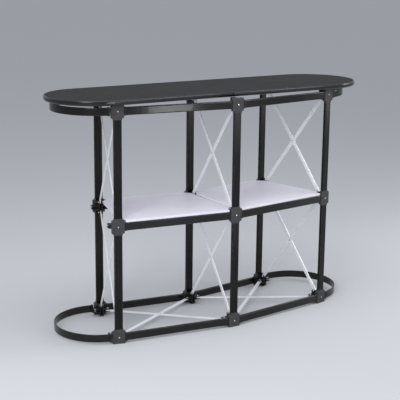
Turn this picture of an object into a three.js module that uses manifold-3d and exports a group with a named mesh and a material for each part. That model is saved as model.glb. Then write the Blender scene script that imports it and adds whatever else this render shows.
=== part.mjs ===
// Folding portable bar: a curved scissor frame of hubs and braces, clad with uprights, rails and end hoops,
// that carries two shelf boards and a tabletop in two halves. Millimetres, +Z up, customer side towards -Y.
import * as THREE from 'three';
import { mergeVertices } from 'three/addons/utils/BufferGeometryUtils.js';
import Module from 'manifold-3d';

// Plan of the frame: two bays fan out from a centre behind the bar
const bayAngle = 14.5 * Math.PI / 180;
const frontBay = 503;
const cladDepth = 16;
const frameDepth = 342;
const clearance = 0.3;

// Heights
const footLevel = 26;
const levelSpacing = 446;

// Uprights and their junction plates
const uprightWidth = 32;
const uprightDepth = 13;
const plateWidth = 50;
const plateHeight = 52;

// Rails and end hoops
const railHeight = 31;
const railDepth = 11;
const hoopThickness = 5;
const hoopLeg = 16;
const shoeLength = 8;
const shoeInset = 1;

// Hubs behind the plates, with forks for the braces
const hubWidth = 40;
const hubDepth = 14;
const hubHeight = 28;
const earThickness = 4;
const earReach = 34;
const uprightEarHeight = 50;
const floorEarReach = 36;
const floorEarThickness = 3.6;
const earCorner = 5;

// Scissor braces
const braceWidth = 15;
const braceThickness = 3;
const pivotInset = 24;
const pivotRise = 21;
const pivotSide = 26;

// Shelves
const shelfThickness = 9;
const shelfEdgeInset = 2;
const shelfPlaneGap = 10;
const shelfPlateGap = 2;
const shelfCornerCut = 20;

// Tabletop, its front edge set back from the face of the middle front plates
const topLength = 1420;
const topDepth = 380;
const topThickness = 20;
const topSetback = 36;
const seamGap = 0.6;

// Values worked out from the sizes above
const outerRadius = frontBay / 2 / Math.sin(bayAngle / 2);
const fanCentreY = outerRadius - topDepth / 2 - topSetback;
const levels = { bottom: footLevel, middle: footLevel + levelSpacing, top: footLevel + 2 * levelSpacing };
const frameTop = levels.top + plateHeight / 2;
const columns = { left: -1, centre: 0, right: 1 };
const slotHalf = braceThickness + 2 * clearance;

const wasm = await Module();
wasm.setup();

// Joining and cutting closed shapes
function toSolid(geometry) {
  const bare = geometry.index ? geometry.toNonIndexed() : geometry.clone();
  bare.deleteAttribute('normal');
  bare.deleteAttribute('uv');
  const merged = mergeVertices(bare, 1e-4);
  return new wasm.Manifold(new wasm.Mesh({
    numProp: 3,
    vertProperties: new Float32Array(merged.attributes.position.array),
    triVerts: new Uint32Array(merged.index.array),
  }));
}

function fromSolid(solid) {
  const mesh = solid.getMesh();
  const geometry = new THREE.BufferGeometry();
  geometry.setAttribute('position', new THREE.BufferAttribute(mesh.vertProperties, 3));
  geometry.setIndex(new THREE.BufferAttribute(mesh.triVerts, 1));
  geometry.computeVertexNormals();
  return geometry;
}

function join(geometries) {
  return fromSolid(geometries.map(toSolid).reduce((sum, next) => sum.add(next)));
}

function cut(geometry, tool) {
  return fromSolid(toSolid(geometry).subtract(toSolid(tool)));
}

// Basic forms
function block(x0, x1, y0, y1, z0, z1) {
  const geometry = new THREE.BoxGeometry(x1 - x0, y1 - y0, z1 - z0);
  return geometry.translate((x0 + x1) / 2, (y0 + y1) / 2, (z0 + z1) / 2);
}

function roundedShape(u0, u1, v0, v1, corner) {
  const shape = new THREE.Shape();
  shape.absarc(u1 - corner, v0 + corner, corner, -Math.PI / 2, 0);
  shape.absarc(u1 - corner, v1 - corner, corner, 0, Math.PI / 2);
  shape.absarc(u0 + corner, v1 - corner, corner, Math.PI / 2, Math.PI);
  shape.absarc(u0 + corner, v0 + corner, corner, Math.PI, 1.5 * Math.PI);
  return shape;
}

function extrude(shape, depth, curveSegments) {
  return new THREE.ExtrudeGeometry(shape, { depth, bevelEnabled: false, curveSegments });
}

function polygon(points) {
  return new THREE.Shape(points.map(([u, v]) => new THREE.Vector2(u, v)));
}

// Places in plan: a column's frame has x across, y inwards from the outer face of its plates
function columnFrame(column, side) {
  const turn = columns[column] * bayAngle;
  const radius = side === 'front' ? outerRadius : outerRadius - frameDepth - 2 * cladDepth;
  const frame = new THREE.Matrix4().makeTranslation(0, fanCentreY, 0);
  frame.multiply(new THREE.Matrix4().makeRotationZ(turn));
  frame.multiply(new THREE.Matrix4().makeTranslation(0, -radius, 0));
  if (side === 'rear') frame.multiply(new THREE.Matrix4().makeRotationZ(Math.PI));
  return frame;
}

function planPoint(column, side, across, inward) {
  return new THREE.Vector3(across, inward, 0).applyMatrix4(columnFrame(column, side));
}

// A bay's frame has x along the chord of its front plates and y inwards, square to that chord
function bayFrame(bay) {
  const turn = columns[bay] * bayAngle / 2;
  const frame = new THREE.Matrix4().makeTranslation(0, fanCentreY, 0);
  frame.multiply(new THREE.Matrix4().makeRotationZ(turn));
  return frame.multiply(new THREE.Matrix4().makeTranslation(0, -outerRadius * Math.cos(bayAngle / 2), 0));
}

// Pieces
function uprightGeometry() {
  const post = block(-uprightWidth / 2, uprightWidth / 2, cladDepth - uprightDepth, cladDepth,
    footLevel, levels.top);
  const plates = Object.values(levels).map((level) => block(-plateWidth / 2, plateWidth / 2, 0, cladDepth,
    level - plateHeight / 2, level + plateHeight / 2));
  return join([post, ...plates]);
}

function hubGeometry() {
  const face = cladDepth + clearance;
  const back = face + hubDepth;
  const pieces = [block(-hubWidth / 2, hubWidth / 2, face, back, -hubHeight / 2, hubHeight / 2)];
  for (const hand of [-1, 1]) {
    const cheek = extrude(roundedShape(face, face + earReach, -uprightEarHeight / 2, uprightEarHeight / 2,
      earCorner), earThickness, 1);
    cheek.rotateX(Math.PI / 2).rotateZ(Math.PI / 2);
    cheek.translate(hand > 0 ? slotHalf : -slotHalf - earThickness, 0, 0);
    pieces.push(cheek);
    const footEar = extrude(roundedShape(-floorEarReach, floorEarReach, face, face + earReach, earCorner),
      floorEarThickness, 1);
    const slot = block(-slotHalf - earThickness / 2, slotHalf + earThickness / 2, back, face + earReach + 1,
      -hubHeight, hubHeight);
    const forked = cut(footEar.translate(0, 0, hand > 0 ? slotHalf : -slotHalf - floorEarThickness), slot);
    pieces.push(forked);
  }
  return join(pieces);
}

function braceGeometry(length) {
  const radius = braceWidth / 2;
  const shape = new THREE.Shape();
  shape.absarc(length, 0, radius, -Math.PI / 2, Math.PI / 2);
  shape.absarc(0, 0, radius, Math.PI / 2, 1.5 * Math.PI);
  return extrude(shape, braceThickness, 3);
}

function railGeometry(bay, side) {
  const [from, to] = bay === 'left' ? ['left', 'centre'] : ['centre', 'right'];
  const reach = plateWidth / 2 + clearance;
  const outer = (cladDepth - railDepth) / 2;
  const hand = side === 'front' ? 1 : -1;
  const start = (inward) => planPoint(from, side, hand * reach, inward);
  const end = (inward) => planPoint(to, side, -hand * reach, inward);
  const corners = [start(outer), end(outer), end(outer + railDepth), start(outer + railDepth)];
  if (side === 'rear') corners.reverse();
  return extrude(polygon(corners.map((corner) => [corner.x, corner.y])), railHeight, 1);
}

function hoopGeometry(column) {
  const hand = columns[column];
  const nearest = ['front', 'rear'].map((side) => Math.max(...[0, cladDepth].flatMap((inward) =>
    [-1, 1].map((end) => hand * planPoint(column, side, end * plateWidth / 2, inward).x))));
  const halfSpan = frameDepth / 2 + cladDepth / 2;
  const middle = planPoint(column, 'front', 0, cladDepth / 2 + halfSpan);
  const out = new THREE.Vector2(hand * Math.cos(bayAngle), Math.sin(bayAngle));
  const along = new THREE.Vector2(-hand * Math.sin(bayAngle), Math.cos(bayAngle));
  const point = (reach, span) => [
    middle.x + out.x * reach + along.x * span,
    middle.y + out.y * reach + along.y * span,
  ];
  // The legs end in shoes, on planes square to X just clear of the plates
  const legEnd = (sideIndex, span, back) => {
    const x = hand * (nearest[sideIndex] + clearance + back);
    return point((x - middle.x - along.x * span) / out.x, span);
  };
  const steps = 20;
  const bow = (radius) => Array.from({ length: steps + 1 }, (_, i) => {
    const angle = -Math.PI / 2 + Math.PI * i / steps;
    return point(plateWidth / 2 + hoopLeg + radius * Math.cos(angle), radius * Math.sin(angle));
  });
  const inside = halfSpan - hoopThickness / 2;
  const outside = halfSpan + hoopThickness / 2;
  const shoe = cladDepth / 2 - shoeInset;
  const leg = (sideIndex, from, to) => [[from, shoeLength], [to, shoeLength], [to, 0]].map(([span, back]) =>
    legEnd(sideIndex, span, back));
  const points = [...bow(outside), ...leg(1, outside, halfSpan + shoe),
    ...leg(1, inside, halfSpan - shoe).reverse(), ...bow(inside).reverse(),
    ...leg(0, -inside, shoe - halfSpan), ...leg(0, -outside, -halfSpan - shoe).reverse()];
  if (hand < 0) points.reverse();
  return extrude(polygon(points), railHeight, 1);
}

function shelfGeometry() {
  const half = frontBay / 2;
  const slope = Math.tan(bayAngle / 2);
  const rearFace = (frameDepth + 2 * cladDepth) * Math.cos(bayAngle / 2);
  const leg = (v) => half - v * slope;
  const edge = (v) => leg(v) - shelfPlaneGap / Math.cos(bayAngle / 2);
  const narrow = (v) => leg(v) - plateWidth / 2 - 2 * shelfPlateGap;
  const front = shelfEdgeInset;
  const rear = rearFace - shelfEdgeInset;
  const behindFront = cladDepth + shelfPlateGap;
  const behindRear = rearFace - cladDepth - shelfPlateGap;
  const rightSide = [
    [narrow(behindFront), front],
    [narrow(behindFront), behindFront],
    [edge(behindFront + shelfCornerCut), behindFront + shelfCornerCut],
    [edge(behindRear - shelfCornerCut), behindRear - shelfCornerCut],
    [narrow(rearFace), behindRear],
    [narrow(rearFace), rear],
  ];
  const leftSide = rightSide.map(([u, v]) => [-u, v]).reverse();
  return extrude(polygon([...rightSide, ...leftSide]), shelfThickness, 1);
}

function tabletopGeometry(hand) {
  const radius = topDepth / 2;
  const straight = topLength / 2 - radius;
  const shape = new THREE.Shape();
  shape.moveTo(seamGap / 2, -radius);
  shape.lineTo(straight, -radius);
  shape.absarc(straight, 0, radius, -Math.PI / 2, Math.PI / 2);
  shape.lineTo(seamGap / 2, radius);
  const geometry = extrude(shape, topThickness, 16);
  return hand > 0 ? geometry : geometry.rotateZ(Math.PI);
}

// Materials
function finish(color, roughness, metalness) {
  return new THREE.MeshStandardMaterial({ color, roughness, metalness });
}

const finishes = {
  upright: () => finish(0x1a1b1e, 0.5, 0.3),
  rail: () => finish(0x17181b, 0.32, 0.3),
  hub: () => finish(0x2b2c30, 0.6, 0),
  brace: () => finish(0xc4c8cc, 0.35, 0.9),
  shelf: () => finish(0xe4e2ee, 0.5, 0),
  tabletop: () => finish(0x26282c, 0.55, 0),
};

const bar = new THREE.Group();

function addPiece(name, geometry, material, matrix) {
  const piece = new THREE.Mesh(geometry, material);
  piece.name = name;
  if (matrix) piece.applyMatrix4(matrix);
  bar.add(piece);
  return piece;
}

function raised(z) {
  return new THREE.Matrix4().makeTranslation(0, 0, z);
}

// Uprights, hubs and the braces across the depth of each column
for (const column of Object.keys(columns)) {
  for (const side of ['front', 'rear']) {
    addPiece(`upright_${side}_${column}`, uprightGeometry(), finishes.upright(), columnFrame(column, side));
    for (const [level, z] of Object.entries(levels)) {
      const matrix = raised(z).multiply(columnFrame(column, side));
      addPiece(`hub_${side}_${column}_${level}`, hubGeometry(), finishes.hub(), matrix);
    }
  }
  const inset = cladDepth + pivotInset;
  const span = frameDepth + 2 * cladDepth - 2 * inset;
  const rise = levelSpacing - 2 * pivotRise;
  const length = Math.hypot(span, rise);
  const lean = Math.atan2(rise, span);
  for (const [storey, level] of [['lower', 'bottom'], ['upper', 'middle']]) {
    for (const [hand, brace] of [[1, 'rising'], [-1, 'falling']]) {
      const start = hand > 0 ? pivotRise : levelSpacing - pivotRise;
      const place = raised(levels[level] + start).multiply(columnFrame(column, 'front'));
      place.multiply(new THREE.Matrix4().makeTranslation(hand > 0 ? clearance : -clearance - braceThickness,
        inset, 0));
      const upright = new THREE.Matrix4().makeBasis(new THREE.Vector3(0, 1, 0), new THREE.Vector3(0, 0, 1),
        new THREE.Vector3(1, 0, 0));
      place.multiply(upright).multiply(new THREE.Matrix4().makeRotationZ(hand * lean));
      addPiece(`brace_${column}_${storey}_${brace}`, braceGeometry(length), finishes.brace(), place);
    }
  }
}

// Rails, shelves and the braces across each bay at the foot
for (const bay of ['left', 'right']) {
  for (const side of ['front', 'rear']) {
    for (const [level, z] of Object.entries(levels)) {
      addPiece(`rail_${side}_${bay}_${level}`, railGeometry(bay, side), finishes.rail(),
        raised(z - railHeight / 2));
    }
  }
  const shelfBase = levels.middle + railHeight / 2 + clearance;
  addPiece(`shelf_${bay}`, shelfGeometry(), finishes.shelf(), raised(shelfBase).multiply(bayFrame(bay)));
  const [from, to] = bay === 'left' ? ['left', 'centre'] : ['centre', 'right'];
  const inset = cladDepth + pivotInset;
  const crossings = [
    ['outward', planPoint(from, 'front', pivotSide, inset), planPoint(to, 'rear', pivotSide, inset), clearance],
    ['inward', planPoint(to, 'front', -pivotSide, inset), planPoint(from, 'rear', -pivotSide, inset),
      -clearance - braceThickness],
  ];
  for (const [brace, start, end, layer] of crossings) {
    const place = new THREE.Matrix4().makeTranslation(start.x, start.y, levels.bottom + layer);
    place.multiply(new THREE.Matrix4().makeRotationZ(Math.atan2(end.y - start.y, end.x - start.x)));
    addPiece(`foot_brace_${bay}_${brace}`, braceGeometry(start.distanceTo(end)), finishes.brace(), place);
  }
}

// End hoops and the tabletop
for (const hand of ['left', 'right']) {
  for (const level of ['bottom', 'top']) {
    addPiece(`hoop_${hand}_${level}`, hoopGeometry(hand), finishes.rail(), raised(levels[level] - railHeight / 2));
  }
  addPiece(`tabletop_${hand}`, tabletopGeometry(columns[hand]), finishes.tabletop(),
    raised(frameTop + clearance));
}

// The origin lies on the floor under the middle of the whole bar
const middle = new THREE.Box3().setFromObject(bar).getCenter(new THREE.Vector3());
bar.position.set(-middle.x, -middle.y, 0);

export default bar;
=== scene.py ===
import bpy
import numpy as np
from mathutils import Matrix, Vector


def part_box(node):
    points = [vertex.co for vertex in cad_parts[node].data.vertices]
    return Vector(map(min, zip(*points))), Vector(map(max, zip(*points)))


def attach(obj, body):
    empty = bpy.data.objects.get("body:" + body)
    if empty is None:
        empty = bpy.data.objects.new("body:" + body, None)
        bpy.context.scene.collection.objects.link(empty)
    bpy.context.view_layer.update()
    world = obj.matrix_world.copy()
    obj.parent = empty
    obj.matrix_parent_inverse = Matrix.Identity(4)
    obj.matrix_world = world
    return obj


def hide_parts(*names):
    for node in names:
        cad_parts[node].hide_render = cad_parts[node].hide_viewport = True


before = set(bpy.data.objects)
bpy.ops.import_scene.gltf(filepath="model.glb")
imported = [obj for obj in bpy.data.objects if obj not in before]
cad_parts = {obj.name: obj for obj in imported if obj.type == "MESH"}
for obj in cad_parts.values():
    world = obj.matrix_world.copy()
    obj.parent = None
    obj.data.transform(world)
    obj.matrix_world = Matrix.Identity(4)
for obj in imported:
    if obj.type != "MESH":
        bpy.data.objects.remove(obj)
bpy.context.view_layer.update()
print("stage: frame loaded")

# plan of the frame in metres: two bays fan out from a centre behind the bar
plan = dict(
    bayAngle=np.radians(14.5), frontBay=0.503, cladDepth=0.016, frameDepth=0.342,
    footLevel=0.026, levelSpacing=0.446, plateWidth=0.050,
    pivotInset=0.040, pivotRise=0.021, pivotSide=0.026, gap=0.0003,
)
outerRadius = plan["frontBay"] / 2 / np.sin(plan["bayAngle"] / 2)
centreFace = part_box("upright_front_centre")[0][1]  # outer face of the middle front plates
fanCentre = np.array([0.0, centreFace + outerRadius])
levelNames = ("bottom", "middle", "top")
levels = {name: plan["footLevel"] + i * plan["levelSpacing"] for i, name in enumerate(levelNames)}
columns = {"left": -1, "centre": 0, "right": 1}
sides = ("front", "rear")
bays = {"left": ("left", "centre"), "right": ("centre", "right")}
up = np.array([0.0, 0.0, 1.0])


def columnAxes(column, side):
    # origin on the outer face of the plates, then the axes across and inwards
    turn = columns[column] * plan["bayAngle"]
    radial = np.array([np.sin(turn), -np.cos(turn)])
    reach = outerRadius - (0 if side == "front" else plan["frameDepth"] + 2 * plan["cladDepth"])
    origin = np.append(fanCentre + radial * reach, 0.0)
    inward = np.append(radial * (-1 if side == "front" else 1), 0.0)
    across = np.cross(inward, up)
    return origin, across, inward


def columnPoint(column, side, across, inward, z):
    origin, a, n = columnAxes(column, side)
    return origin + a * across + n * inward + up * z


# materials

# paler corners: worn paint, and also a painted highlight along the edges
wearAndHighlightCut = dict(reach=0.0042, longSide=1.3, tone=0.055, patch=150.0, start=0.5, full=0.66)


def newMaterial(name, baseColor, roughness, metallic=0.0, specular=0.5, coat=0.0):
    mat = bpy.data.materials.new(name)
    mat.use_nodes = True
    nodes = mat.node_tree.nodes
    shader = nodes["Principled BSDF"]
    shader.inputs["Base Color"].default_value = (*baseColor, 1)
    shader.inputs["Roughness"].default_value = roughness
    shader.inputs["Metallic"].default_value = metallic
    shader.inputs["Specular IOR Level"].default_value = specular
    shader.inputs["Coat Weight"].default_value = coat
    return mat, nodes, mat.node_tree.links, shader


def textureSpace(nodes, links, scale=(1, 1, 1), source="Object"):
    coord = nodes.new("ShaderNodeTexCoord")
    mapping = nodes.new("ShaderNodeMapping")
    mapping.inputs["Scale"].default_value = scale
    links.new(coord.outputs[source], mapping.inputs["Vector"])
    return mapping.outputs["Vector"]


def noise(nodes, links, vector, scale, detail=4.0, roughness=0.55):
    tex = nodes.new("ShaderNodeTexNoise")
    tex.inputs["Scale"].default_value = scale
    tex.inputs["Detail"].default_value = detail
    tex.inputs["Roughness"].default_value = roughness
    links.new(vector, tex.inputs["Vector"])
    return tex.outputs["Fac"]


def ramp(nodes, links, fac, stops):
    node = nodes.new("ShaderNodeValToRGB")
    for element, (at, color) in zip(node.color_ramp.elements, stops):
        element.position = at
        element.color = (*color, 1)
    links.new(fac, node.inputs["Fac"])
    return node.outputs["Color"]


def spread(nodes, links, fac, low, high, start=0.0, full=1.0):
    node = nodes.new("ShaderNodeMapRange")
    node.inputs["From Min"].default_value = start
    node.inputs["From Max"].default_value = full
    node.inputs["To Min"].default_value = low
    node.inputs["To Max"].default_value = high
    links.new(fac, node.inputs["Value"])
    return node.outputs["Result"]


def bump(nodes, links, height, strength, distance, shader):
    node = nodes.new("ShaderNodeBump")
    node.inputs["Strength"].default_value = strength
    node.inputs["Distance"].default_value = distance
    links.new(height, node.inputs["Height"])
    links.new(node.outputs["Normal"], shader.inputs["Normal"])


def wornAndHighlightEdge(nodes, links, space, color, shader):
    # rubbed corners with a painted highlight: the piece's corner attribute, broken up by patchy noise, lets
    # a paler tone through, partly worn paint and partly a painted highlight along the edges
    wearAndHighlightMask = nodes.new("ShaderNodeAttribute")
    wearAndHighlightMask.attribute_name = "wearAndHighlight"
    patch = noise(nodes, links, space, wearAndHighlightCut["patch"], 5.0, 0.7)
    amount = nodes.new("ShaderNodeMath")
    amount.operation = "MULTIPLY"
    links.new(wearAndHighlightMask.outputs["Fac"], amount.inputs[0])
    links.new(spread(nodes, links, patch, 0, 1, wearAndHighlightCut["start"], wearAndHighlightCut["full"]), amount.inputs[1])
    mix = nodes.new("ShaderNodeMix")
    mix.data_type = "RGBA"  # its colour sockets are inputs 6 and 7 and output 2
    mix.inputs[7].default_value = (wearAndHighlightCut["tone"],) * 3 + (1,)
    links.new(amount.outputs[0], mix.inputs[0])
    links.new(color, mix.inputs[6])
    links.new(mix.outputs[2], shader.inputs["Base Color"])


def paintMaterial(name, dark, light, rough, peel, specular, coat=0.0):
    # sprayed black: slow cloudiness, fine orange peel and faint rubbed streaks
    mat, nodes, links, shader = newMaterial(name, dark, rough[0], 0.0, specular, coat)
    space = textureSpace(nodes, links)
    cloud = noise(nodes, links, space, 9.0, 5.0)
    # the corners take the paler tone of worn paint and of a painted highlight
    wornAndHighlightEdge(nodes, links, space, ramp(nodes, links, cloud, [(0.35, dark), (0.75, light)]), shader)
    rub = noise(nodes, links, textureSpace(nodes, links, (30, 30, 260)), 1.0, 3.0)
    links.new(spread(nodes, links, rub, *rough), shader.inputs["Roughness"])
    bump(nodes, links, noise(nodes, links, space, 700.0, 2.0), peel, 0.0004, shader)
    return mat


def plasticMaterial(name, dark, light, rough):
    # moulded plastic: spark-eroded grain and paler scuffs
    mat, nodes, links, shader = newMaterial(name, dark, rough[0], 0.0, 0.3)
    space = textureSpace(nodes, links)
    scuff = noise(nodes, links, space, 45.0, 6.0, 0.7)
    # the corners take the paler tone of worn paint and of a painted highlight
    wornAndHighlightEdge(nodes, links, space, ramp(nodes, links, scuff, [(0.4, dark), (0.7, light)]), shader)
    grain = noise(nodes, links, space, 1900.0, 2.0)
    links.new(spread(nodes, links, scuff, *rough), shader.inputs["Roughness"])
    bump(nodes, links, grain, 0.35, 0.0003, shader)
    return mat


def aluminiumMaterial():
    # satin drawn aluminium: lines run along the bar, in the bar's own UV
    mat, nodes, links, shader = newMaterial("satinAluminium", (0.9, 0.91, 0.93), 0.36, 0.4)
    lines = noise(nodes, links, textureSpace(nodes, links, (6, 900, 1), "UV"), 1.0, 3.0)
    blotch = noise(nodes, links, textureSpace(nodes, links), 30.0, 4.0)
    tone = ramp(nodes, links, blotch, [(0.3, (0.84, 0.85, 0.87)), (0.75, (0.93, 0.94, 0.96))])
    links.new(tone, shader.inputs["Base Color"])
    links.new(spread(nodes, links, lines, 0.28, 0.46), shader.inputs["Roughness"])
    bump(nodes, links, lines, 0.18, 0.0002, shader)
    return mat


def laminateMaterial(name, dark, light, rough, pebble, strength, specular=0.3):
    # pressed laminate: pebbled skin with a slow change of tone
    mat, nodes, links, shader = newMaterial(name, dark, rough[0], 0.0, specular)
    space = textureSpace(nodes, links)
    tone = noise(nodes, links, space, 14.0, 6.0, 0.65)
    links.new(ramp(nodes, links, tone, [(0.3, dark), (0.72, light)]), shader.inputs["Base Color"])
    cells = nodes.new("ShaderNodeTexVoronoi")
    cells.inputs["Scale"].default_value = pebble
    links.new(space, cells.inputs["Vector"])
    links.new(spread(nodes, links, tone, *rough), shader.inputs["Roughness"])
    bump(nodes, links, cells.outputs["Distance"], strength, 0.0005, shader)
    return mat


def steelMaterial():
    # bright zinc with fine turning marks
    mat, nodes, links, shader = newMaterial("brightZinc", (0.78, 0.78, 0.76), 0.25, 1.0)
    marks = noise(nodes, links, textureSpace(nodes, links), 420.0, 4.0)
    links.new(spread(nodes, links, marks, 0.16, 0.36), shader.inputs["Roughness"])
    tone = ramp(nodes, links, marks, [(0.3, (0.66, 0.66, 0.65)), (0.8, (0.86, 0.86, 0.84))])
    links.new(tone, shader.inputs["Base Color"])
    bump(nodes, links, marks, 0.1, 0.0002, shader)
    return mat


finishes = dict(
    post=paintMaterial(
        "satinBlackPaint", (0.0035, 0.0036, 0.0042), (0.007, 0.0072, 0.0082),
        rough=(0.3, 0.46), peel=0.12, specular=0.18),
    rail=paintMaterial(
        "semiGlossBlackPaint", (0.003, 0.0031, 0.0035), (0.006, 0.0062, 0.007),
        rough=(0.14, 0.28), peel=0.08, specular=0.34, coat=0.12),
    hub=plasticMaterial("hubPlastic", (0.034, 0.034, 0.039), (0.052, 0.052, 0.059), rough=(0.5, 0.68)),
    clip=plasticMaterial("clipPlastic", (0.005, 0.005, 0.006), (0.011, 0.011, 0.013), rough=(0.42, 0.6)),
    brace=aluminiumMaterial(),
    shelf=laminateMaterial(
        "whiteLaminate", (0.74, 0.72, 0.82), (0.80, 0.78, 0.87),
        rough=(0.38, 0.52), pebble=2600.0, strength=0.06),
    shelfEdge=laminateMaterial(
        "whiteEdgeBand", (0.70, 0.69, 0.76), (0.78, 0.77, 0.84),
        rough=(0.4, 0.5), pebble=3200.0, strength=0.05),
    top=laminateMaterial(
        "charcoalLaminate", (0.0125, 0.013, 0.0142), (0.0165, 0.0171, 0.0186),
        rough=(0.44, 0.6), pebble=1500.0, strength=0.25, specular=0.05),
    topEdge=paintMaterial(
        "edgeMoulding", (0.004, 0.0041, 0.0046), (0.008, 0.0082, 0.0092),
        rough=(0.16, 0.28), peel=0.06, specular=0.45, coat=0.1),
    screw=steelMaterial(),
)
print("stage: materials")


# mesh helpers: a piece is a stack of rings, each ring a closed profile

def skin(rings, matIndex=0, uv=None, capIndex=None, capRows=0, wearAndHighlight=0.0):
    # joins each ring to the next with quads and closes both ends; a negative volume turns all faces round
    # the first and last capRows bands take the material of the ends
    rows, count = rings.shape[:2]
    points = rings.reshape(-1, 3)
    i, j = np.meshgrid(np.arange(rows - 1), np.arange(count), indexing="ij")
    n = (j + 1) % count
    quads = np.stack([i * count + j, i * count + n, (i + 1) * count + n, (i + 1) * count + j], -1)
    quads = quads.reshape(-1, 4)
    ends = [np.arange(count)[::-1], np.arange(count) + (rows - 1) * count]
    fans = [np.stack([np.full(count - 2, e[0]), e[1:-1], e[2:]], -1) for e in ends]
    corners = points[np.concatenate([quads[:, [0, 1, 2]], quads[:, [0, 2, 3]], *fans])]
    volume = np.einsum("ij,ij->", corners[:, 0], np.cross(corners[:, 1], corners[:, 2]))
    faces = quads.tolist() + [e.tolist() for e in ends]
    if volume < 0:
        faces = [f[::-1] for f in faces]
    capIndex = matIndex if capIndex is None else capIndex
    index = np.full((rows - 1, count), matIndex)
    index[:capRows] = index[rows - 1 - capRows:] = capIndex
    index = index.ravel().tolist() + [capIndex] * 2
    return points, faces, index, uv, np.broadcast_to(wearAndHighlight, (rows, count)).ravel()


def addPiece(name, parts, mats, body, replaced=(), smoothAngle=35.0):
    # parts come from skin and become one mesh, with its UV map and its attribute of paler corners, which
    # are worn paint and painted highlight together
    verts, faces, index, uvs, wearAndHighlightMask, base = [], [], [], [], [], 0
    for points, partFaces, matIndex, uv, wearAndHighlight in parts:
        verts.append(points)
        faces += [[int(v) + base for v in f] for f in partFaces]
        index += matIndex
        uvs.append(uv if uv is not None else points[:, :2])
        wearAndHighlightMask.append(wearAndHighlight)
        base += len(points)
    mesh = bpy.data.meshes.new(name)
    mesh.from_pydata(np.concatenate(verts).tolist(), [], faces)
    mesh.polygons.foreach_set("material_index", index)
    loops = np.empty(len(mesh.loops), dtype=np.int32)
    mesh.loops.foreach_get("vertex_index", loops)
    uvMap = mesh.uv_layers.new(name="UVMap")
    uvMap.data.foreach_set("uv", np.concatenate(uvs)[loops].astype(np.float32).ravel())
    wearAndHighlightMap = mesh.attributes.new("wearAndHighlight", "FLOAT", "POINT")
    wearAndHighlightMap.data.foreach_set("value", np.concatenate(wearAndHighlightMask).astype(np.float32))
    for mat in mats:
        mesh.materials.append(mat)
    mesh.polygons.foreach_set("use_smooth", [True] * len(mesh.polygons))
    mesh.set_sharp_from_angle(angle=np.radians(smoothAngle))
    mesh.validate()
    mesh.update()
    obj = bpy.data.objects.new(name, mesh)
    bpy.context.scene.collection.objects.link(obj)
    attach(obj, body)
    if replaced:
        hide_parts(*replaced)
    return obj


def roundedRect(width, height, radius, steps=4):
    # corner arcs joined by straight sides, counter-clockwise
    # a long side has a point near each arc, where the paler corner band of wear and painted highlight ends
    arc = np.linspace(0, np.pi / 2, steps + 1)
    reach = wearAndHighlightCut["reach"]
    long = (width / 2 > wearAndHighlightCut["longSide"] * reach, height / 2 > wearAndHighlightCut["longSide"] * reach)
    outline = []
    for turn, (sx, sy) in enumerate(((1, -1), (1, 1), (-1, 1), (-1, -1))):
        angle = (turn - 1) * np.pi / 2 + arc
        bend = np.stack([sx * (width / 2 - radius) + radius * np.cos(angle),
                         sy * (height / 2 - radius) + radius * np.sin(angle)], -1)
        beside = [[(sx * (width / 2 - reach), sy * height / 2)],
                  [(sx * width / 2, sy * (height / 2 - reach))]]
        before, after = (0, 1) if turn % 2 == 0 else (1, 0)
        outline += [beside[before]] * long[before] + [bend] + [beside[after]] * long[after]
    return np.concatenate(outline)


def cornerWearAndHighlight(profile):
    # paler corners, as wear and painted highlight: 1 round the corners, 0 at the points beside them
    size = np.abs(profile).max(axis=0)
    return np.clip(2 - 2 * (size - np.abs(profile)).max(axis=1) / wearAndHighlightCut["reach"], 0, 1)


def inset(profile, amount):
    # draws a profile in towards its middle by the same distance on both axes
    size = np.abs(profile).max(axis=0)
    return profile * (1 - amount / size)


def sweep(path, sideways, upright, profile, endRound=0.0015, endSteps=3, matIndex=0):
    # carries the profile along the path, with rounded ends; u runs along, v round the profile
    path, sideways, upright = (np.asarray(a, float) for a in (path, sideways, upright))
    bend = np.linspace(0, np.pi / 2, endSteps + 1)
    draw = endRound * (1 - np.sin(bend))
    out = endRound * (1 - np.cos(bend))
    first, last = path[1] - path[0], path[-1] - path[-2]
    first, last = first / np.linalg.norm(first), last / np.linalg.norm(last)
    centres = np.concatenate([
        path[:1] + first * out[:, None], path[1:-1], path[-1:] - last * out[::-1, None]])
    draws = np.concatenate([draw, np.zeros(len(path) - 2), draw[::-1]])
    repeats = np.ones(len(path), int)
    repeats[[0, -1]] = endSteps + 1
    s, u = np.repeat(sideways, repeats, 0), np.repeat(upright, repeats, 0)
    rings = np.stack([inset(profile, d) for d in draws])
    points = centres[:, None] + s[:, None] * rings[..., :1] + u[:, None] * rings[..., 1:]
    along = np.concatenate([[0], np.cumsum(np.linalg.norm(np.diff(centres, axis=0), axis=1))])
    girth = np.concatenate([[0], np.cumsum(np.linalg.norm(np.diff(profile, axis=0), axis=1))])
    uv = np.stack(np.meshgrid(along, girth, indexing="ij"), -1).reshape(-1, 2)
    return skin(points, matIndex, uv, wearAndHighlight=cornerWearAndHighlight(profile))


def straightBar(start, end, sideways, upright, profile, endRound=0.0015, matIndex=0):
    # the sweep along a straight path of three points
    path = np.array([start, start + (end - start) / 2, end])
    sideways, upright = np.repeat([sideways], 3, 0), np.repeat([upright], 3, 0)
    return sweep(path, sideways, upright, profile, endRound, matIndex=matIndex)


def turned(origin, axis, profile, steps=16, matIndex=0):
    # spins a profile of (distance along, radius) about an axis
    axis = axis / np.linalg.norm(axis)
    first = np.cross(axis, up if abs(axis[2]) < 0.9 else np.array([1.0, 0, 0]))
    first /= np.linalg.norm(first)
    second = np.cross(axis, first)
    angle = np.arange(steps) * 2 * np.pi / steps
    ring = np.cos(angle)[:, None] * first + np.sin(angle)[:, None] * second
    profile = np.asarray(profile)
    return skin(origin + profile[:, None, :1] * axis + profile[:, None, 1:] * ring, matIndex)


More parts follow.
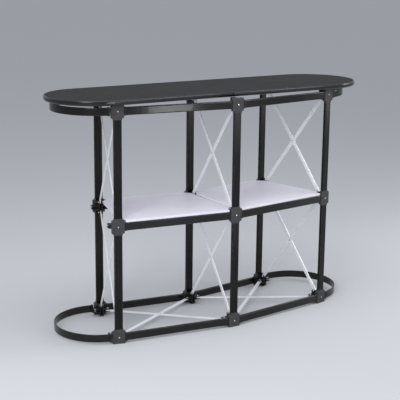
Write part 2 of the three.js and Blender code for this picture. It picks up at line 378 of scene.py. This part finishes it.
# posts, junction plates and screws of each upright

# endRise: from a level to the end of a post, which is hidden inside the plate
postCut = dict(width=0.032, depth=0.013, corner=0.0022, endRise=0.02)
plateCut = dict(width=0.050, height=0.052, depth=0.016, corner=0.0022)
# plate section from the back to the middle of the face: depth below the face, distance drawn in, paler lip
# as wear and painted highlight
plateSection = np.array([
    (plateCut["depth"], 0.003, 0), (plateCut["depth"], 0.0006, 0), (plateCut["depth"] - 0.0008, 0, 0),
    (0.0022, 0, 0), (0.0008, 0.0005, 1), (0.0, 0.0016, 1), (0.0, 0.0040, 1), (0.0005, 0.0046, 0),
    (0.0005, 0.007, 0)])
collarCut = dict(width=0.036, depth=0.0145, reach=0.011, corner=0.003, tuck=0.004, endRound=0.0012)
screwCut = dict(radius=0.0028, dome=0.0012, sink=0.001, dimple=0.0009, seat=0.0006)


def screwParts(point, outward, matIndex):
    # pan head: straight rim, rounded shoulder and a dimple for the driver
    r, d, low = screwCut["radius"], screwCut["dome"], screwCut["dimple"]
    profile = [
        (-screwCut["sink"], r), (d * 0.4, r), (d * 0.85, r * 0.85), (d, r * 0.6), (d, low * 1.3),
        (d * 0.3, low), (d * 0.3, low * 0.3)]
    return turned(point, outward, profile, 18, matIndex)


def plateParts(column, side, z, matIndex):
    # plate with a raised lip: a rounded slab carried along its section, drawn in row by row
    origin, across, inward = columnAxes(column, side)
    slab = roundedRect(plateCut["width"], plateCut["height"], plateCut["corner"])
    below, draw, wearAndHighlight = plateSection.T
    rings = np.stack([inset(slab, d) for d in draw])
    points = origin + up * z + inward * below[:, None, None] + across * rings[..., :1] + up * rings[..., 1:]
    return skin(points, matIndex, wearAndHighlight=wearAndHighlight[:, None])


def collarParts(column, side, z, reach, matIndex):
    # short sleeve round the post where it enters a plate
    origin, across, inward = columnAxes(column, side)
    middle = origin + inward * (plan["cladDepth"] - collarCut["depth"] / 2)
    profile = roundedRect(collarCut["width"], collarCut["depth"], collarCut["corner"], 3)
    start, end = middle + up * z, middle + up * (z + reach)
    return straightBar(start, end, across, inward, profile, collarCut["endRound"], matIndex)


for side in sides:
    for column in columns:
        origin, across, inward = columnAxes(column, side)
        body = f"{side}_cladding"
        node = f"upright_{side}_{column}"
        middle = origin + inward * (plan["cladDepth"] - postCut["depth"] / 2)
        postProfile = roundedRect(postCut["width"], postCut["depth"], postCut["corner"])
        spans = ((levels["bottom"], levels["middle"]), (levels["middle"], levels["top"]))
        foot = middle + up * postCut["endRise"]
        head = middle - up * postCut["endRise"]
        parts = [straightBar(foot + up * a, head + up * b, across, inward, postProfile) for a, b in spans]
        addPiece(f"post_{side}_{column}", parts, [finishes["post"]], body, [node])
        rise = plateCut["height"] / 2 - collarCut["tuck"]
        caps = []
        for name, z in levels.items():
            caps.append(plateParts(column, side, z, 0))
            if name != "top":
                caps.append(collarParts(column, side, z + rise, collarCut["reach"], 0))
            if name != "bottom":
                caps.append(collarParts(column, side, z - rise, -collarCut["reach"], 0))
            caps.append(screwParts(origin + up * z + inward * screwCut["seat"], -inward, 1))
        addPiece(f"junctions_{side}_{column}", caps, [finishes["hub"], finishes["screw"]], body)
print("stage: uprights")


# rails with a clip at each end

railCut = dict(height=0.031, depth=0.011, corner=0.0024, endGap=0.001)
clipCut = dict(height=0.034, depth=0.0125, length=0.007, corner=0.002, endGap=0.0006, endRound=0.001)

for bay, (first, last) in bays.items():
    for side in sides:
        hand = 1 if side == "front" else -1
        offset = plan["cladDepth"] / 2
        reach = plan["plateWidth"] / 2 + plan["gap"]
        for name, z in levels.items():
            start = columnPoint(first, side, hand * reach, offset, z)
            end = columnPoint(last, side, -hand * reach, offset, z)
            along = (end - start) / np.linalg.norm(end - start)
            normal = np.cross(along, up)
            railProfile = roundedRect(railCut["depth"], railCut["height"], railCut["corner"])
            shy = along * railCut["endGap"]
            parts = [straightBar(start + shy, end - shy, normal, up, railProfile)]
            node, body = f"rail_{side}_{bay}_{name}", f"{side}_cladding"
            addPiece(f"{node}_skin", parts, [finishes["rail"]], body, [node])
            clipProfile = roundedRect(clipCut["depth"], clipCut["height"], clipCut["corner"], 3)
            near, far, endRound = clipCut["endGap"], clipCut["length"], clipCut["endRound"]
            clips = [straightBar(p + d * near, p + d * far, normal, up, clipProfile, endRound)
                     for p, d in ((start, along), (end, -along))]
            addPiece(f"clips_{side}_{bay}_{name}", clips, [finishes["clip"]], body)
print("stage: rails")


# end hoops: two straight legs and a half round between them

hoopCut = dict(
    height=0.031, thickness=0.005, leg=0.016, legStart=0.008, corner=0.0016, steps=48, endRound=0.0012)
shoeCut = dict(length=0.008, height=0.034, depth=0.0125, corner=0.002, back=0.0042, endRound=0.001)


def hoopPath(column):
    # front leg, half circle outwards and rear leg, seen from above
    origin, across, inward = columnAxes(column, "front")
    out = across * columns[column]
    halfSpan = plan["frameDepth"] / 2 + plan["cladDepth"] / 2
    middle = origin + inward * (plan["cladDepth"] / 2 + halfSpan)
    reach = plan["plateWidth"] / 2 + hoopCut["leg"]
    angle = np.linspace(-np.pi / 2, np.pi / 2, hoopCut["steps"] + 1)
    bow = middle + out * (reach + halfSpan * np.cos(angle))[:, None]
    bow = bow + inward * (halfSpan * np.sin(angle))[:, None]
    start = plan["plateWidth"] / 2 + hoopCut["legStart"]
    legs = [middle + out * start + inward * halfSpan * s for s in (-1, 1)]
    return np.concatenate([legs[:1], bow, legs[1:]]), out, inward


for column in ("left", "right"):
    path, out, inward = hoopPath(column)
    tangent = np.gradient(path, axis=0)
    tangent /= np.linalg.norm(tangent, axis=1)[:, None]
    sideways = np.cross(tangent, up)
    upright = np.repeat(up[None], len(path), 0)
    bandProfile = roundedRect(hoopCut["thickness"], hoopCut["height"], hoopCut["corner"], 3)
    shoeProfile = roundedRect(shoeCut["depth"], shoeCut["height"], shoeCut["corner"], 3)
    for name in ("bottom", "top"):
        lift = up * levels[name]
        parts = [sweep(path + lift, sideways, upright, bandProfile, hoopCut["endRound"])]
        for leg in (path[0], path[-1]):
            seat = leg - out * shoeCut["back"] + lift
            tip = seat + out * shoeCut["length"]
            parts.append(straightBar(seat, tip, inward, up, shoeProfile, shoeCut["endRound"], 1))
        node = f"hoop_{column}_{name}"
        addPiece(f"{node}_band", parts, [finishes["rail"], finishes["clip"]], node, [node])
print("stage: hoops")


# braces and their rivets

braceCut = dict(width=0.015, thickness=0.003, gap=0.0003, soft=0.0005, endSteps=10)
rivetCut = dict(radius=0.0042, dome=0.0018, domeTurn=0.47 * np.pi, domeSteps=4)


def flatBar(start, end, normal):
    # stadium outline drawn in at both faces for a soft edge
    axis = (end - start) / np.linalg.norm(end - start)
    wide = np.cross(normal, axis)
    r, t = braceCut["width"] / 2, braceCut["thickness"]
    angle = np.linspace(-np.pi / 2, np.pi / 2, braceCut["endSteps"] + 1)
    soft = braceCut["soft"]
    rows = [(-t / 2, 2 * soft), (-t / 2, soft), (-t / 2 + soft, 0)]
    rows += [(-height, draw) for height, draw in rows[::-1]]
    rings = []
    for height, draw in rows:
        q = r - draw
        head = end + axis * (q * np.cos(angle))[:, None] + wide * (q * np.sin(angle))[:, None]
        tail = start - axis * (q * np.cos(angle))[:, None] - wide * (q * np.sin(angle))[:, None]
        rings.append(np.concatenate([head, tail]) + normal * height)
    points = np.stack(rings)
    flat = points.reshape(-1, 3) - start
    return skin(points, 0, np.stack([flat @ axis, flat @ wide], -1))


def rivetParts(point, axis, half, matIndex):
    # a domed head on both faces, joined through the stack
    r, d = rivetCut["radius"], rivetCut["dome"]
    bend = np.linspace(0, rivetCut["domeTurn"], rivetCut["domeSteps"] + 1)
    head = np.stack([half + d * np.sin(bend), r * np.cos(bend)], -1)
    profile = np.concatenate([(head * [-1, 1])[::-1], head])
    return turned(point, axis, profile, matIndex=matIndex)


braceMats = [finishes["brace"], finishes["screw"]]
stackHalf = braceCut["thickness"] + braceCut["gap"]
for column in columns:
    across = columnAxes(column, "front")[1]
    for storey, low, high in (("lower", "bottom", "middle"), ("upper", "middle", "top")):
        zLow, zHigh = levels[low] + plan["pivotRise"], levels[high] - plan["pivotRise"]
        for kind, zFront, zRear, layer in (("rising", zLow, zHigh, 1), ("falling", zHigh, zLow, -1)):
            shift = across * layer * (braceCut["gap"] + braceCut["thickness"] / 2)
            start = columnPoint(column, "front", 0, plan["pivotInset"], zFront) + shift
            end = columnPoint(column, "rear", 0, plan["pivotInset"], zRear) + shift
            parts = [flatBar(start, end, across)]
            if kind == "rising":
                parts.append(rivetParts((start + end) / 2 - shift, across, stackHalf, 1))
            node = f"brace_{column}_{storey}_{kind}"
            addPiece(f"{node}_bar", parts, braceMats, node, [node])

for bay, (first, last) in bays.items():
    z = levels["bottom"]
    side, inwards = plan["pivotSide"], plan["pivotInset"]
    ends = {
        "outward": (columnPoint(first, "front", side, inwards, z),
                    columnPoint(last, "rear", side, inwards, z), 1),
        "inward": (columnPoint(last, "front", -side, inwards, z),
                   columnPoint(first, "rear", -side, inwards, z), -1),
    }
    a, b, c, d = *ends["outward"][:2], *ends["inward"][:2]
    share = np.linalg.solve(np.stack([(b - a)[:2], (c - d)[:2]], -1), (c - a)[:2])[0]
    crossing = a + (b - a) * share
    for kind, (start, end, layer) in ends.items():
        shift = up * layer * (braceCut["gap"] + braceCut["thickness"] / 2)
        parts = [flatBar(start + shift, end + shift, up)]
        if kind == "outward":
            parts.append(rivetParts(crossing, up, stackHalf, 1))
        node = f"foot_brace_{bay}_{kind}"
        addPiece(f"{node}_bar", parts, braceMats, node, [node])
print("stage: braces")


# hubs keep their solids, with softened edges, and get pins through their forks

hubEdge = dict(width=0.0011, segments=2, weld=0.00002)
pinCut = dict(forkHalf=0.0076, footForkHalf=0.0072)  # half the width of the forks that the pins go through

for side in sides:
    for column in columns:
        origin, across, inward = columnAxes(column, side)
        for name, z in levels.items():
            node = f"hub_{side}_{column}_{name}"
            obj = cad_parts[node]
            obj.data.materials.clear()
            obj.data.materials.append(finishes["clip"])
            weld = obj.modifiers.new("weld", "WELD")
            weld.merge_threshold = hubEdge["weld"]
            soft = obj.modifiers.new("softEdges", "BEVEL")
            soft.width = hubEdge["width"]
            soft.segments = hubEdge["segments"]
            soft.limit_method = "ANGLE"
            pins = []
            rises = {"bottom": (1,), "middle": (-1, 1), "top": (-1,)}[name]
            for rise in rises:
                pivot = columnPoint(column, side, 0, plan["pivotInset"], z + rise * plan["pivotRise"])
                pins.append(rivetParts(pivot, across, pinCut["forkHalf"], 0))
            if name == "bottom":
                for hand in (-1, 1):
                    pivot = columnPoint(column, side, hand * plan["pivotSide"], plan["pivotInset"], z)
                    pins.append(rivetParts(pivot, up, pinCut["footForkHalf"], 0))
            addPiece(f"pins_{side}_{column}_{name}", pins, [finishes["screw"]], node)
print("stage: hubs")


# shelves

shelfCut = dict(
    thickness=0.009, edgeInset=0.002, planeGap=0.010, plateGap=0.002, cornerCut=0.020,
    soft=0.0012, edgeSteps=3)


def shelfOutline():
    # wedge between two column planes, narrowed to pass between the plates at front and rear
    half, clad, slope = plan["frontBay"] / 2, plan["cladDepth"], np.tan(plan["bayAngle"] / 2)
    lean = np.cos(plan["bayAngle"] / 2)
    rearFace = (plan["frameDepth"] + 2 * clad) * lean
    leg = lambda v: half - v * slope
    edge = lambda v: leg(v) - shelfCut["planeGap"] / lean
    narrow = lambda v: leg(v) - plan["plateWidth"] / 2 - 2 * shelfCut["plateGap"]
    near, far = clad + shelfCut["plateGap"], rearFace - clad - shelfCut["plateGap"]
    cut = shelfCut["cornerCut"]
    right = np.array([
        [narrow(near), shelfCut["edgeInset"]], [narrow(near), near], [edge(near + cut), near + cut],
        [edge(far - cut), far - cut], [narrow(rearFace), far],
        [narrow(rearFace), rearFace - shelfCut["edgeInset"]]])
    return np.concatenate([right, (right * [-1, 1])[::-1]])


def drawnIn(outline, amount):
    # moves every side of a closed outline inwards by the same amount, mitred at the corners
    before = outline - np.roll(outline, 1, 0)
    after = np.roll(outline, -1, 0) - outline
    n1 = np.stack([-before[:, 1], before[:, 0]], -1) / np.linalg.norm(before, axis=1)[:, None]
    n2 = np.stack([-after[:, 1], after[:, 0]], -1) / np.linalg.norm(after, axis=1)[:, None]
    return outline + (n1 + n2) * (amount / (1 + (n1 * n2).sum(1)))[:, None]


for bay, hand in (("left", -1), ("right", 1)):
    turn = hand * plan["bayAngle"] / 2
    along = np.array([np.cos(turn), np.sin(turn), 0])
    inward = np.array([-np.sin(turn), np.cos(turn), 0])
    origin = np.append(fanCentre, 0) - inward * outerRadius * np.cos(plan["bayAngle"] / 2)
    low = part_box(f"shelf_{bay}")[0][2]
    outline, soft, t = shelfOutline(), shelfCut["soft"], shelfCut["thickness"]
    bend = np.linspace(0, np.pi / 2, shelfCut["edgeSteps"] + 1)
    rows = [(4 * soft, 0)] + [(soft * (1 - np.sin(a)), soft * (1 - np.cos(a))) for a in bend]
    rows += [(d, t - h) for d, h in rows[::-1]]
    points = np.stack([np.column_stack([drawnIn(outline, d), np.full(len(outline), h)]) for d, h in rows])
    world = origin + points[..., :1] * along + points[..., 1:2] * inward + up * (points[..., 2:] + low)
    node = f"shelf_{bay}"
    addPiece(f"{node}_board", [skin(world, 1, capIndex=0, capRows=1)],
             [finishes["shelf"], finishes["shelfEdge"]], node, [node])
print("stage: shelves")


# tabletop halves with a rounded edge moulding

topCut = dict(
    upperRound=0.0036, lowerRound=0.0085, seamHalf=0.0003, seamRound=0.0012, seamCorner=0.004,
    cornerSteps=4, arcSteps=56, edgeSteps=7, smoothAngle=50.0)


def halfOutline(hand, length, depth, middleY, draw, seamDraw):
    # rounded seam corner, straight side, half round and back, drawn in towards the middle
    r, c = depth / 2 - draw, topCut["seamCorner"]
    straight = length / 2 - depth / 2
    angle = np.linspace(-np.pi / 2, np.pi / 2, topCut["arcSteps"] + 1)
    bend = np.linspace(0, np.pi / 2, topCut["cornerSteps"] + 1)
    cornerX = topCut["seamHalf"] + seamDraw + c * (1 - np.cos(bend))
    cornerY = r - c + c * np.sin(bend)
    x = np.concatenate([cornerX, straight + r * np.cos(angle), cornerX[::-1]])
    y = np.concatenate([-cornerY, r * np.sin(angle), cornerY[::-1]])
    return np.stack([hand * x, middleY + y], -1)


def edgeRows(radius, seam):
    # flat support ring, then a quarter round: distance drawn in, the same at the seam, height
    bend = np.linspace(0, np.pi / 2, topCut["edgeSteps"] + 1)
    quarter = [((1 - np.sin(a)) * radius, (1 - np.sin(a)) * seam, (1 - np.cos(a)) * radius) for a in bend]
    return [(1.5 * radius, 3 * seam, 0)] + quarter


for name, hand in (("left", -1), ("right", 1)):
    low, high = (np.array(c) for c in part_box(f"tabletop_{name}"))
    depth, middleY = high[1] - low[1], (high[1] + low[1]) / 2
    length, t = 2 * max(abs(low[0]), abs(high[0])), high[2] - low[2]
    rows = edgeRows(topCut["lowerRound"], topCut["seamRound"])
    rows += [(d, q, t - h) for d, q, h in edgeRows(topCut["upperRound"], topCut["seamRound"])[::-1]]
    outlines = [(halfOutline(hand, length, depth, middleY, d, q), low[2] + h) for d, q, h in rows]
    points = np.stack([np.column_stack([o, np.full(len(o), h)]) for o, h in outlines])
    node = f"tabletop_{name}"
    addPiece(f"{node}_slab", [skin(points, 1, capIndex=0, capRows=1)],
             [finishes["top"], finishes["topEdge"]], node, [node], topCut["smoothAngle"])
print("stage: tabletop")


# floor, lights and camera

stageCut = dict(
    floorHalf=60.0, floorTone=(0.54, 0.55, 0.57), floorRough=0.85, floorGloss=0.04,
    worldTone=(0.80, 0.83, 0.88), worldStrength=0.72)
lamps = dict(
    overhead=dict(place=(-0.3, -0.5, 3.2), aim=(0, 0, 0.6), size=(2.6, 1.8), power=36),
    frontLeft=dict(place=(-2.6, -2.4, 2.0), aim=(0, 0, 0.5), size=(1.4, 2.0), power=80),
    right=dict(place=(2.8, -1.0, 1.6), aim=(0, 0, 0.5), size=(1.0, 1.8), power=30),
    lowFront=dict(  # shows in the upper left rail
        place=(0.72, -4.45, 0.27), aim=(0.2, 0, 0.6), size=(1.3, 0.34), power=15, glossOnly=True),
    edgeFront=dict(  # shows in the tabletop's edge
        place=(2.6, -4.4, 1.25), aim=(0, 0, 0.95), size=(1.7, 0.8), power=48, glossOnly=True),
)
lens = dict(  # angles in degrees, focal length in pixels of the picture, sensor in millimetres
    place=(-2.3227, -3.6729, 1.5319), yaw=31.879, pitch=13.495, roll=0.637, focal=1071.7, imageSize=400,
    sensor=36.0, clipEnd=100.0)


def makeFloor():
    # flat square, wide enough to fill the picture
    far = stageCut["floorHalf"]
    mesh = bpy.data.meshes.new("floor")
    mesh.from_pydata([(-far, -far, 0), (far, -far, 0), (far, far, 0), (-far, far, 0)], [], [(0, 1, 2, 3)])
    mesh.update()
    obj = bpy.data.objects.new("floor", mesh)
    bpy.context.scene.collection.objects.link(obj)
    tone, rough, gloss = stageCut["floorTone"], stageCut["floorRough"], stageCut["floorGloss"]
    mesh.materials.append(newMaterial("paleFloor", tone, rough, 0.0, gloss)[0])


def aimMatrix(place, aim):
    # stands at place with its own -Z towards aim
    back = np.array(place, float) - np.array(aim, float)
    back /= np.linalg.norm(back)
    right = np.cross(up, back)
    right /= np.linalg.norm(right)
    top = np.cross(back, right)
    return Matrix([[right[i], top[i], back[i], place[i]] for i in range(3)] + [[0, 0, 0, 1]])


def makeLamps():
    for name, lamp in lamps.items():
        light = bpy.data.lights.new(name, "AREA")
        light.shape = "RECTANGLE"
        light.size, light.size_y = lamp["size"]
        light.energy = lamp["power"]
        obj = bpy.data.objects.new(name, light)
        obj.matrix_world = aimMatrix(lamp["place"], lamp["aim"])
        obj.visible_camera = False
        obj.visible_diffuse = not lamp.get("glossOnly", False)  # a strip that only shows in the gloss
        bpy.context.scene.collection.objects.link(obj)


def makeCamera():
    yaw, pitch, roll = (np.radians(lens[k]) for k in ("yaw", "pitch", "roll"))
    ahead = np.array([np.sin(yaw) * np.cos(pitch), np.cos(yaw) * np.cos(pitch), -np.sin(pitch)])
    right = np.array([np.cos(yaw), -np.sin(yaw), 0.0])
    top = np.cross(right, ahead)
    across = np.cos(roll) * right + np.sin(roll) * top
    above = -np.sin(roll) * right + np.cos(roll) * top
    camera = bpy.data.cameras.new("camera")
    camera.sensor_width = lens["sensor"]
    camera.lens = lens["focal"] / lens["imageSize"] * lens["sensor"]
    camera.clip_end = lens["clipEnd"]
    obj = bpy.data.objects.new("camera", camera)
    rows = [[across[i], above[i], -ahead[i], lens["place"][i]] for i in range(3)]
    obj.matrix_world = Matrix(rows + [[0, 0, 0, 1]])
    bpy.context.scene.collection.objects.link(obj)
    bpy.context.scene.camera = obj


def makeWorld():
    world = bpy.data.worlds.new("studio")
    world.use_nodes = True
    back = world.node_tree.nodes["Background"]
    back.inputs["Color"].default_value = (*stageCut["worldTone"], 1)
    back.inputs["Strength"].default_value = stageCut["worldStrength"]
    bpy.context.scene.world = world


makeFloor()
makeLamps()
makeCamera()
makeWorld()
bpy.context.scene.view_settings.view_transform = "Standard"
print("stage: floor, lights and camera")
